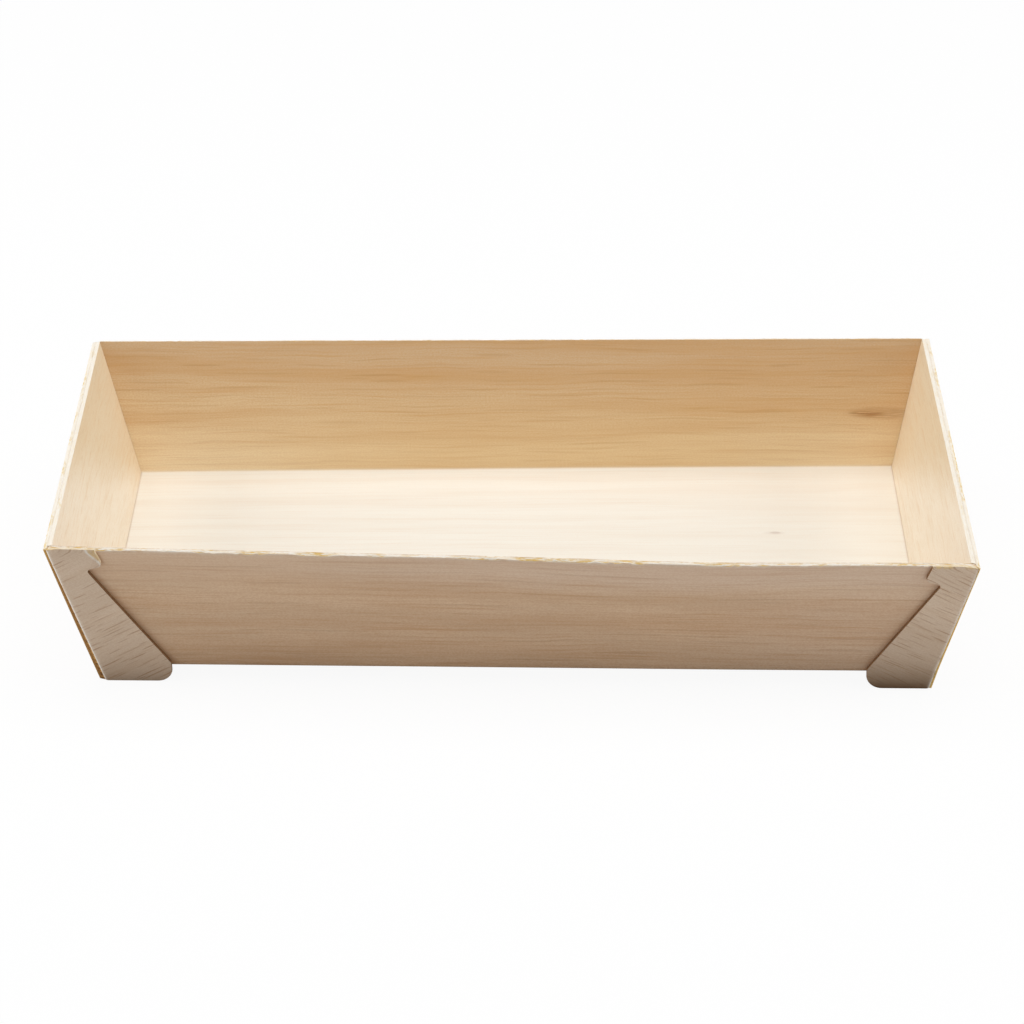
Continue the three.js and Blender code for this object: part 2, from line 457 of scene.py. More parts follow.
class Finish:
    """The nodes that a material, or the surround, is made of."""

    def __init__(self, owner):
        owner.use_nodes = True
        self.owner = owner
        self.tree = owner.node_tree
        self.tree.nodes.clear()

    def node(self, kind, sockets=None, settings=None, output=0):
        made = self.tree.nodes.new("ShaderNode" + kind)
        for key, value in (settings or {}).items():
            setattr(made, key, value)
        for key, value in (sockets or {}).items():
            if isinstance(value, Value):
                self.tree.links.new(value.socket, made.inputs[key])
            else:
                made.inputs[key].default_value = value
        return Value(self, made.outputs[output]) if made.outputs else None

    def maths(self, operation, first, second):
        return self.node("Math", {0: first, 1: second}, {"operation": operation})

    def mix(self, share, first, second):
        """A colour between two, by a share of the second."""
        settings = {"data_type": "RGBA", "clamp_factor": True}
        return self.node("Mix", {0: share, 6: first, 7: second}, settings, output=2)

    def attribute(self, name, output):
        return self.node("Attribute", settings={"attribute_name": name}, output=output)

    def parts(self, vector):
        """The three numbers of a vector."""
        return [self.node("SeparateXYZ", {0: vector}, output=axis) for axis in range(3)]

    def vector(self, x, y, z):
        return self.node("CombineXYZ", {0: x, 1: y, 2: z})

    def mottle(self, vector, size, detail=2.0, roughness=0.5):
        """Noise whose spots have a size along the grain, across it and through the sheet."""
        scaled = self.node("VectorMath", {0: vector, 1: size}, {"operation": "DIVIDE"})
        sockets = {"Vector": scaled, "Scale": 1.0, "Detail": detail, "Roughness": roughness}
        return self.node("TexNoise", sockets, {"noise_dimensions": "3D"})

    def rise(self, value, low, high):
        """0 below low, 1 above high, and smooth between them."""
        sockets = {"Value": value, "From Min": low, "From Max": high}
        return self.node("MapRange", sockets, {"interpolation_type": "SMOOTHSTEP"})

    def finish(self, colour, roughness, height, bump, bump_distance):
        """Closes the finish with a wood surface, and returns the material."""
        normal = self.node("Bump", {"Strength": bump, "Distance": bump_distance, "Height": height})
        sockets = {"Base Color": colour, "Roughness": roughness, "Normal": normal}
        sockets["Specular IOR Level"] = SHEEN
        surface = self.node("BsdfPrincipled", sockets)
        self.node("OutputMaterial", {"Surface": surface})
        return self.owner


def tone(red, green, blue):
    """A colour from its three screen values, 0 to 255."""
    linear = [(part / 255) ** 2.2 for part in (red, green, blue)]
    return (*linear, 1.0)


# The bump of the faces, and the height of the relief on faces and on cut edges, in metres
FACE_BUMP = 0.17
FACE_RELIEF = 0.0001
EDGE_RELIEF = 0.00015


def flecks(f, along, across, length, spacing, width, share):
    """Short lines along the grain, at most one in each cell of a brick pattern, in a share of them."""
    row = f.maths("FLOOR", across / spacing, 0.0)
    shift = f.node("TexWhiteNoise", {"W": row + 0.5}, {"noise_dimensions": "1D"})
    run = along / length + shift * 9.0
    cell = f.maths("FLOOR", run, 0.0)
    place = f.vector(row + 0.5, cell + 0.5, 0.5)
    chances = f.node("TexWhiteNoise", {"Vector": place}, {"noise_dimensions": "3D"}, output=1)
    first, second, third = f.parts(chances)
    half = length * (0.2 + 0.3 * first)
    from_middle = (run - cell - 0.5) * length
    beside = (across / spacing - row - 0.25 - 0.5 * second) * spacing
    gone = (from_middle / half) ** 2.0 + (beside / width) ** 2.0
    there = f.maths("LESS_THAN", third, share)
    strength = 0.45 + 0.55 * f.maths("FRACT", 7.0 * first + 3.0 * second, 0.0)
    return (1.0 - f.rise(gone, 0.15, 1.0)) * there * strength


def veneer(name, ground, streak_tone, bands, streak, dusty, fleck_tone, fleck, fleck_size, run=1.0):
    """A face of sliced veneer: a ground colour, soft bands and wavy streaks along the grain, fine
    fibres and short darker flecks. Ground is a function of the finish and the place on the sheet,
    and gives a colour and how strongly the grain shows. Fleck_size is length, spacing, half width
    and share, and run is the length of the streaks."""
    f = Finish(bpy.data.materials.new(name))
    sheet = f.attribute("sheet", 1)
    along, across, depth = f.parts(sheet)
    wander = f.mottle(sheet, (60.0, 16.0, 50.0), 1.0) - 0.5
    sway = f.mottle(sheet, (15.0, 5.0, 20.0), 1.0) - 0.5
    level = across + 3.0 * wander + 0.8 * sway
    wavy = f.vector(along, level, depth)
    clouds = f.mottle(wavy, (120.0 * run, 5.0, 40.0), 2.0)
    streaks = f.mottle(wavy, (42.0 * run, 0.75, 20.0), 3.0, 0.6)
    threads = f.mottle(wavy, (13.0 * run, 0.33, 10.0), 2.0, 0.6)
    fibres = f.mottle(wavy, (4.5, 0.17, 8.0), 2.0, 0.6)
    dust_and_shade = f.mottle(sheet, (0.5, 0.28, 0.3), 1.0)
    colour, marked = ground(f, along, across, level)
    colour = f.mix(marked * bands * f.rise(clouds, 0.36, 0.7), colour, streak_tone)
    colour = f.mix(marked * streak * f.rise(streaks, 0.48, 0.76), colour, streak_tone)
    colour = f.mix(marked * 0.55 * streak * f.rise(threads, 0.46, 0.74), colour, streak_tone)
    powdered = 0.3 * streak * fibres + dusty * f.rise(dust_and_shade, 0.25, 0.75)
    colour = f.mix(marked * powdered, colour, streak_tone)
    length, spacing, width, share = fleck_size
    dashes = flecks(f, along, level, length, spacing, width, share)
    short = flecks(f, along + 3.7, level + 0.4, 0.55 * length, 1.3 * spacing, 0.8 * width, 0.8 * share)
    dashes = f.maths("MAXIMUM", dashes, 0.75 * short)
    colour = f.mix(marked * fleck * dashes, colour, fleck_tone)
    # Painted shade near the table and at the strips' rims
    colour = f.mix(f.attribute("painted_shade", 2), colour, PAINTED_SHADE_TONE)
    # Painted highlights on rubbed corners and rolled folds
    rubbed_highlight = f.attribute("wear_and_highlight", 2) * f.rise(f.mottle(sheet, (3.0, 3.0, 3.0), 2.0), 0.25, 0.5)
    colour = f.mix(rubbed_highlight, colour, RUBBED_HIGHLIGHT_TONE)
    splintered = f.attribute("torn", 2) * f.rise(f.mottle(sheet, (0.9, 0.9, 0.9), 2.0), 0.2, 0.45)
    colour = f.mix(splintered, colour, TORN_TONE)
    height = marked * (0.5 * fibres + 0.4 * threads + 0.2 * dust_and_shade - 0.8 * dashes)
    roughness = 0.62 + 0.18 * fibres + 0.1 * dashes
    return f.finish(colour, roughness, height, FACE_BUMP, FACE_RELIEF)


def cut_edge(name, clean_tone, torn_tone, torn_ground, dark_tone, dark, bump):
    """A cut edge of veneer: thin layers along it, torn spots, and dark ends of fibres."""
    f = Finish(bpy.data.materials.new(name))
    sheet = f.attribute("sheet", 1)
    torn = f.attribute("torn", 2)
    layers = f.mottle(sheet, (9.0, 9.0, 0.2), 2.0, 0.6)
    shreds = f.mottle(sheet, (2.4, 2.4, 0.22), 2.0, 0.65)
    specks = f.mottle(sheet, (0.45, 0.45, 0.32), 1.0)
    colour = f.mix(0.16 * f.rise(layers, 0.42, 0.7), clean_tone, torn_tone)
    # Painted highlight where worn corners catch light
    colour = f.mix(0.85 * f.attribute("wear_and_highlight", 2) ** 3.0, colour, torn_tone)
    colour = f.mix(torn_ground * f.rise(shreds, 0.5, 0.64), colour, torn_tone)
    colour = f.mix(torn * f.rise(shreds, 0.4, 0.56), colour, torn_tone)
    colour = f.mix(dark * (1.0 - torn) * f.rise(specks, 0.48, 0.66), colour, dark_tone)
    colour = f.mix(f.attribute("crack", 2), colour, dark_tone)
    height = layers + 0.7 * specks - f.rise(shreds, 0.5, 0.65)
    roughness = 0.72 + 0.2 * layers
    return f.finish(colour, roughness, height, bump, EDGE_RELIEF)


# Colours of the veneers
# Painted light: the floor paler than the walls of the same sheet, walls lit low down, shaded high
FLOOR_LIT_TONE = tone(255, 251, 240)
WALL_BOUNCE_LIT_TONE = tone(245, 218, 171)
WALL_SHADED_TOP_TONE = tone(226, 198, 162)
WALL_END_TONE = tone(255, 235, 197)
TROUGH_STREAK = tone(214, 164, 104)
TROUGH_FLECK = tone(188, 136, 76)
FRONT_TONE = tone(238, 209, 178)
FRONT_HIGH_TONE = tone(247, 222, 198)
FRONT_STREAK = tone(208, 157, 111)
FRONT_FLECK = tone(172, 119, 77)
# The end panels' front tone is painted light and their back tone is painted shadow
PANEL_LIT_TONE = tone(252, 243, 226)
PANEL_SHADED_TONE = tone(235, 219, 191)
PANEL_STREAK = tone(225, 190, 142)
PANEL_FLECK = tone(210, 178, 134)
STRIP_TONE = tone(238, 217, 195)
STRIP_STREAK = tone(208, 171, 134)
STRIP_FLECK = tone(170, 117, 74)
RIM_TONE = tone(254, 247, 235)
FLAP_RIM_TONE = tone(250, 237, 214)
TORN_TONE = tone(230, 192, 118)
END_TORN_TONE = tone(232, 196, 104)
DARK_TONE = tone(176, 132, 76)
# The right kerf's pale tones are painted light on the plate's edge in its groove
KERF_TONE = {"left": tone(164, 114, 66), "right": tone(252, 200, 110)}
KERF_TORN_AND_LIT = {"left": tone(250, 200, 116), "right": tone(255, 234, 168)}
KERF_DARK = tone(96, 60, 30)
FREE_TONE = tone(142, 106, 74)
FREE_TORN = tone(170, 132, 96)
FREE_DARK = tone(84, 58, 36)
RUBBED_HIGHLIGHT_TONE = tone(255, 251, 244)
# Tones of painted shade: near the table and at the rims, and beside the flaps
PAINTED_SHADE_TONE = tone(120, 92, 66)
FLAP_SHADE_TONE = tone(150, 98, 58)
TABLE_TONE = tone(212, 211, 209)
TABLE_PALE_TONE = tone(218, 217, 215)
WHITE = (1, 1, 1, 1)

# The grain of the long walls is quieter inside over this distance up from the floor
QUIET_REACH = 24.0

# An end panel is painted paler in front of a slanting line and darker behind it, as painted shadow
# of the back wall. The line runs from the foot of its back edge to its rim: the place across the
# tray where the line meets the rim, and where it meets the floor
SHADOW_EDGE_AT_RIM = -15.0
SHADOW_EDGE_AT_FLOOR = 51.0

# Marks in the veneer: a knot streak on the back wall with a paler halo, and a small speck on the
# floor, each with its place along the tray and across the sheet, half its length and half its width
KNOT = (90.6, 67.4, 5.6, 1.0)
KNOT_HALO = (94.0, 67.6, 10.5, 2.2)
SPECK = (64.6, 15.7, 1.7, 0.8)
SPECK_HALO = (64.4, 15.6, 3.4, 1.1)
KNOT_TONE = tone(142, 84, 42)

# The line of shade at the foot and the back edge of an end panel
CREASE_TONE = tone(196, 146, 92)
CREASE_WIDTH = 0.45


def mark(f, along, across, place):
    """A soft oval mark in the grain."""
    x, y, length, width = place
    gone = ((along - x) / length) ** 2.0 + ((across - y) / width) ** 2.0
    return 1.0 - f.rise(gone, 0.0, 1.0)


def trough_inside(f, along, across, level):
    """Painted light on the floor, which is pale and nearly plain; the walls warmer and streaked, painted
    lighter low down by bounce light from the floor and darker towards the rim; a knot and a speck.
    """
    wall = f.rise(abs(across), FOLD_Y - 0.2, FOLD_Y + FOLD_ARC + 0.6)
    height = f.rise(abs(across), FOLD_Y, SHEET_HALF)
    ends = 0.75 * f.rise(abs(along), 40.0, 95.0) + 0.3 * f.rise(-1.0 * along, 10.0, 60.0)
    face = f.mix(ends * (1.0 - height), f.mix(height, WALL_BOUNCE_LIT_TONE, WALL_SHADED_TOP_TONE), WALL_END_TONE)
    colour = f.mix(wall, FLOOR_LIT_TONE, face)
    climb = f.maths("MAXIMUM", abs(across) - FOLD_Y, 0.0) * cos(LONG_LEAN)
    from_panel = half_length_at(FLOOR_TOP) + climb * tan(END_LEAN) - abs(along)
    colour = f.mix(0.32 - 0.32 * f.rise(from_panel, 0.0, CREASE_WIDTH), colour, CREASE_TONE)
    threads = f.rise(f.mottle(f.vector(along, across, 0.0), (5.0, 0.4, 4.0), 2.0), 0.25, 0.6)
    colour = f.mix(0.46 * mark(f, along, across, KNOT_HALO) * threads, colour, KNOT_TONE)
    colour = f.mix(0.66 * mark(f, along, across, KNOT) * threads, colour, KNOT_TONE)
    colour = f.mix(0.1 * mark(f, along, across, SPECK_HALO), colour, KNOT_TONE)
    colour = f.mix(0.3 * mark(f, along, across, SPECK) * threads, colour, KNOT_TONE)
    quiet = f.rise(abs(across), FOLD_Y, FOLD_Y + QUIET_REACH)
    return colour, 0.2 + wall * (0.35 + 0.5 * quiet)


def plain(colour):
    """A ground of one colour, clouded in large soft patches."""
    def ground(f, along, across, level):
        cloud = f.mottle(f.vector(along, level, 0.0), (45.0, 9.0, 40.0), 2.0)
        pale = tuple(min(1.0, part * 1.08) for part in colour[:3]) + (1.0,)
        return f.mix(f.rise(cloud, 0.35, 0.65), colour, pale), 1.0
    return ground


def shade_beside_flaps(f, along, down):
    """Share of painted shade on a long wall beside the noses and the slanting edges of the flaps."""
    dust_and_shade = 0.0
    for end, sign in ENDS.items():
        from_corner = RIM_CORNER[end] - sign * along
        top = NOSE_TOP_REACH + NOSE_LONGER[end]
        nose = from_corner - top - (NOSE_TIP[0] - NOSE_TOP_REACH) / NOSE_TIP[1] * down
        notch = NOTCH[0] + NOTCH_LONGER[end]
        run = FOOT_REACH + FOOT_LONGER[end] - notch
        fall = FLAP_DEPTH - FOOT_SIDE_HEIGHT - NOTCH[1]
        slant = from_corner - notch - run / fall * (down - NOTCH[1])
        near_nose = (1.0 - f.rise(nose, -0.2, 1.0)) * (1.0 - f.rise(down, 3.6, 5.0))
        near_flap = f.maths("MAXIMUM", near_nose, 1.0 - f.rise(slant, -0.4, 2.2))
        dust_and_shade = dust_and_shade + FLAP_SHADE[end] * near_flap
    return dust_and_shade


def trough_outside(f, along, across, level):
    """Clouded a little in large soft patches, and greyer towards the rims, most at the right, with
    painted shade on the wall beside the flaps.
    """
    cloud = f.mottle(f.vector(along, level, 0.0), (45.0, 9.0, 40.0), 2.0) - 0.5
    down = SHEET_HALF - abs(across) + 6.0 * cloud
    grey = (1.0 - f.rise(down, 4.0, 12.5)) * (0.4 + 0.6 * f.rise(along, -75.0, 35.0))
    grey = f.maths("MAXIMUM", grey, 0.5 * f.rise(along, 30.0, 80.0))
    colour = f.mix(grey, plain(FRONT_TONE)(f, along, across, level)[0], FRONT_HIGH_TONE)
    dust_and_shade = shade_beside_flaps(f, along, SHEET_HALF - abs(across))
    quiet = 1.0 - f.rise(SHEET_HALF - abs(across), 3.0, 14.0)
    return f.mix(dust_and_shade, colour, FLAP_SHADE_TONE), 1.0 - 0.35 * quiet


def panel_painted_shadow(f, along, across, level):
    """Painted light in front of the slanting line, painted shadow of the back wall behind it. Along
    and across start at the tray's middle and the rim.
    """
    down = across / ((RIM_HEIGHT - FLOOR_TOP) / cos(END_LEAN))
    ahead = SHADOW_EDGE_AT_RIM + (SHADOW_EDGE_AT_FLOOR - SHADOW_EDGE_AT_RIM) * down - along
    cloud = f.mottle(f.vector(along, level, 0.0), (30.0, 8.0, 30.0), 2.0) - 0.5
    soft = 26.0 - 16.0 * down
    pale = f.rise(ahead + 0.5 * soft * cloud, -0.8 * soft, soft)
    return f.mix(pale, PANEL_SHADED_TONE, PANEL_LIT_TONE), 1.0 - 0.4 * pale


inside_face = veneer(
    "trough_inside_veneer", trough_inside, TROUGH_STREAK, 0.4, 0.46, 0.3,
    TROUGH_FLECK, 0.24, (30.0, 2.1, 0.28, 0.65),
)
outside_face = veneer(
    "trough_outside_veneer", trough_outside, FRONT_STREAK, 0.25, 0.52, 0.3,
    FRONT_FLECK, 0.2, (44.0, 2.1, 0.32, 0.6),
)
panel_face = veneer(
    "panel_veneer", panel_painted_shadow, PANEL_STREAK, 0.14, 0.5, 0.22,
    PANEL_FLECK, 0.25, (7.0, 1.5, 0.22, 0.45), run=0.4,
)
strip_face = veneer(
    "strip_veneer", plain(STRIP_TONE), STRIP_STREAK, 0.12, 0.3, 0.26,
    STRIP_FLECK, 0.54, (12.5, 1.1, 0.17, 0.66),
)
long_rim = cut_edge("long_rim_cut", RIM_TONE, TORN_TONE, 0.62, DARK_TONE, 0.1, 0.2)
end_rim = cut_edge("end_rim_cut", RIM_TONE, END_TORN_TONE, 0.12, DARK_TONE, 0.03, 0.12)
flap_rim = cut_edge("flap_rim_cut", FLAP_RIM_TONE, TORN_TONE, 0.6, DARK_TONE, 0.1, 0.2)
kerf_cut = {
    end: cut_edge(
        f"{end}_kerf_cut", KERF_TONE[end], KERF_TORN_AND_LIT[end], 0.3, KERF_DARK, KERF_SPECKS[end], 0.4,
    )
    for end in ENDS
}
free_cut = cut_edge("free_edge_cut", FREE_TONE, FREE_TORN, 0.4, FREE_DARK, 0.5, 0.5)


def folded_trough():
    """Floor and both long walls, one sheet folded twice, with torn rims and slanted ends."""
    wall = edge_steps(WALL_RUN, WALL_ROW_STEP)
    fold = np.linspace(0, FOLD_ARC, FOLD_ROWS)[1:-1]
    floor = np.linspace(-FOLD_Y, FOLD_Y, FLOOR_ROWS)[1:-1]
    half = FOLD_Y + FOLD_ARC
    across = np.concatenate([wall - SHEET_HALF, fold - half, floor, FOLD_Y + fold, half + wall])
    sheet = Sheet(np.linspace(-1, 1, TROUGH_COLUMNS), across, LAYERS)
    from_rim = SHEET_HALF - np.abs(sheet.across)
    rim = from_rim < 1e-6
    upper = from_rim < RIM_BAND
    side = np.sign(sheet.across)
    torn = np.zeros(len(side))
    crack = np.zeros(len(side))
    place = sheet.along * HALF_LENGTH + RIMS_APART * side
    torn[upper] = ragged(place[upper], sheet.layer[upper], LONG_RIM_SCARCE, seed=3.0)
    beyond = np.abs(sheet.along) * half_length_at(RIM_HEIGHT, PANEL_VENEER) - INNER_HALF_LENGTH
    trim = np.maximum(beyond, 0) * tan(END_LEAN)
    trim = trim + END_TRIM * np.clip(beyond / END_TRIM_REACH, 0, 1)
    loss = rim_loss(torn, sheet.layer) + worn(sheet.layer) + trim
    loss = loss * near(from_rim, RIM_EASE) * upper
    torn = torn * rim
    line = hairline(place[rim], sheet.layer[rim], FRONT_RIM_LINE, seed=31.0)
    crack[rim] = line * (side[rim] < 0)
    run = np.abs(sheet.across) - loss
    radius = FOLD_RADIUS + sheet.layer * TROUGH_VENEER
    turn = np.clip((run - FOLD_Y) / FOLD_ARC, 0, 1) * FOLD_TURN
    climb = np.maximum(run - FOLD_Y - FOLD_ARC, 0)
    y = np.minimum(run, FOLD_Y) + radius * np.sin(turn) + climb * sin(LONG_LEAN)
    z = FOLD_Z - radius * np.cos(turn) + climb * cos(LONG_LEAN)
    x = sheet.along * half_length_at(z, PANEL_VENEER)
    points = np.stack([x, side * y, z], -1)
    grain = np.stack([x, sheet.across, sheet.layer * TROUGH_VENEER], -1)
    painted_shade = WALL_SHADE * near(z - FLOOR_UNDERSIDE, SHADE_HEIGHT) * (sheet.layer == 1) * (turn > 0)
    # Rubbed pale below the rim, partly painted highlight
    strength, start, reach = RIM_RUBBED_HIGHLIGHT
    wear_and_highlight = strength * near(from_rim - start, reach) * (sheet.layer == 1)
    finishes = {"edge": long_rim, INNER_FACE: inside_face, OUTER_FACE: outside_face}
    marks = {"torn": torn, "wear_and_highlight": wear_and_highlight, "painted_shade": painted_shade, "crack": crack}
    make_piece("folded_trough", sheet, points, grain, marks, finishes, face_or_edge)


def trough_half_width(height):
    """Half the inside width of the trough at a height, in its folds too."""
    below = np.clip(FOLD_Z - height, 0, FOLD_RADIUS)
    in_fold = FOLD_Y + np.sqrt(np.maximum(FOLD_RADIUS ** 2 - below ** 2, 0))
    return np.where(height > WALL_FOOT, half_width_at(height), in_fold)


def end_panel(end):
    """Inner layer of one end, standing on the floor between the long walls."""
    bottom = (RIM_HEIGHT - FLOOR_TOP - PANEL_CRACK) / cos(END_LEAN)
    down = edge_steps(bottom, PANEL_ROW_STEP)
    sheet = Sheet(np.linspace(-1, 1, END_COLUMNS), down, LAYERS)
    rim = sheet.across < 1e-6
    upper = sheet.across < RIM_BAND
    torn = np.zeros(len(rim))
    place = sheet.along[upper] * INNER_HALF_WIDTH
    spots = ragged(place, sheet.layer[upper], PANEL_RIM_SCARCE, seed=11.0 + ENDS[end])
    torn[upper] = PANEL_TORN_LOOK * spots
    loss = PANEL_TORN_SHARE * rim_loss(torn, sheet.layer) + worn(sheet.layer, outer=0.0)
    depth = sheet.across + loss * near(sheet.across, RIM_EASE) * upper
    torn = torn * rim
    offset = sheet.layer * PANEL_VENEER
    shrink = RIM_HEIGHT - offset * sin(END_LEAN) - FLOOR_TOP - PANEL_CRACK
    depth = depth * shrink / (RIM_HEIGHT - FLOOR_TOP - PANEL_CRACK)
    x = INNER_HALF_LENGTH - depth * sin(END_LEAN) + offset * cos(END_LEAN)
    z = RIM_HEIGHT - depth * cos(END_LEAN) - offset * sin(END_LEAN)
    y = sheet.along * (trough_half_width(z) - PANEL_CRACK)
    points = np.stack([ENDS[end] * x, y, z], -1)
    grain = np.stack([y, depth, offset + PANELS_APART * ENDS[end]], -1)
    finishes = {"edge": end_rim, INNER_FACE: panel_face, OUTER_FACE: panel_face}
    marks = {"torn": torn}
    make_piece(f"{end}_end_panel", sheet, points, grain, marks, finishes, face_or_edge)


def rounded(before, corner, after, radius, count):
    """Points of an arc that rounds a corner and touches both of its sides."""
    corner = np.array(corner)
    to_before = np.array(before) - corner
    to_after = np.array(after) - corner
    to_before /= np.linalg.norm(to_before)
    to_after /= np.linalg.norm(to_after)
    half_angle = acos(np.dot(to_before, to_after)) / 2
    bisector = (to_before + to_after) / np.linalg.norm(to_before + to_after)
    centre = corner + bisector * radius / sin(half_angle)
    start = corner + to_before * radius / tan(half_angle) - centre
    end = corner + to_after * radius / tan(half_angle) - centre
    sweep = acos(np.dot(start, end) / radius ** 2)
    shares = np.linspace(0, 1, count)
    first = np.sin((1 - shares) * sweep) / sin(sweep)
    last = np.sin(shares * sweep) / sin(sweep)
    return centre + first[:, None] * start + last[:, None] * end


# Rows of points down a flap's free edge, the shares of its nose and of its slanting edge that are
# straight, and the steps that belong to the two
NOSE_ROWS = 12
TIP_ROWS = 7
NOTCH_ROWS = 6
SLANT_ROWS = 14
FOOT_ROWS = 12
NOSE_STRAIGHT = 0.72
SLANT_STRAIGHT = (0.06, 0.97)
NOSE_STEPS = NOSE_ROWS + TIP_ROWS // 2
SLANT_START = NOSE_ROWS + TIP_ROWS + NOTCH_ROWS
SLANT_STEPS = range(SLANT_START - 2, SLANT_START + SLANT_ROWS)


def flap_edge(end):
    """Free edge of a flap from the rim down to the table, as reach and depth at each step."""
    foot_reach = FOOT_REACH + FOOT_LONGER[end]
    top = (NOSE_TOP_REACH + NOSE_LONGER[end], 0.0)
    tip = (NOSE_TIP[0] + NOSE_LONGER[end], NOSE_TIP[1])
    notch = (NOTCH[0] + NOTCH_LONGER[end], NOTCH[1])
    side = (foot_reach, FLAP_DEPTH - FOOT_SIDE_HEIGHT)
    corner = (foot_reach, FLAP_DEPTH)
    inside = (0.0, FLAP_DEPTH)
    down = np.linspace(0, 1, NOSE_ROWS + 1)[:-1, None]
    nose = np.array(top) + down * (np.array(tip) - top) * NOSE_STRAIGHT
    shares = np.linspace(*SLANT_STRAIGHT, SLANT_ROWS)[:, None]
    slant = np.array(notch) + shares * (np.array(side) - notch)
    return np.concatenate([
        nose,
        rounded(top, tip, notch, NOSE_TIP[2], TIP_ROWS),
        rounded(tip, notch, side, NOTCH[2], NOTCH_ROWS),
        slant,
        [side],
        rounded(side, corner, inside, FOOT_CORNER_RADIUS, FOOT_ROWS),
    ])


# Inner and outer face of an end strip at the flaps, outwards from the inside of the long walls
STRIP_INNER = TROUGH_VENEER + GLUE_SHOWN
STRIP_OUTER = GLUED + STRIP_VENEER


def strip_columns():
    """The columns of an end strip, from one free edge round to the other: the part that each lies
    on, and its share of that part, or its name at a kerf."""
    shares = np.concatenate([KERF_SHARES, np.linspace(0.06, 0.75, 11), np.linspace(0.77, 1.0, 13)])
    columns = [("front", share) for share in shares[::-1]]
    columns += [("front", "web"), ("front", "lip")]
    columns += [("plate", share) for share in np.linspace(-1, 1, END_COLUMNS)[1:-1]]
    columns += [("back", "lip"), ("back", "web")]
    columns += [("back", share) for share in shares]
    return columns


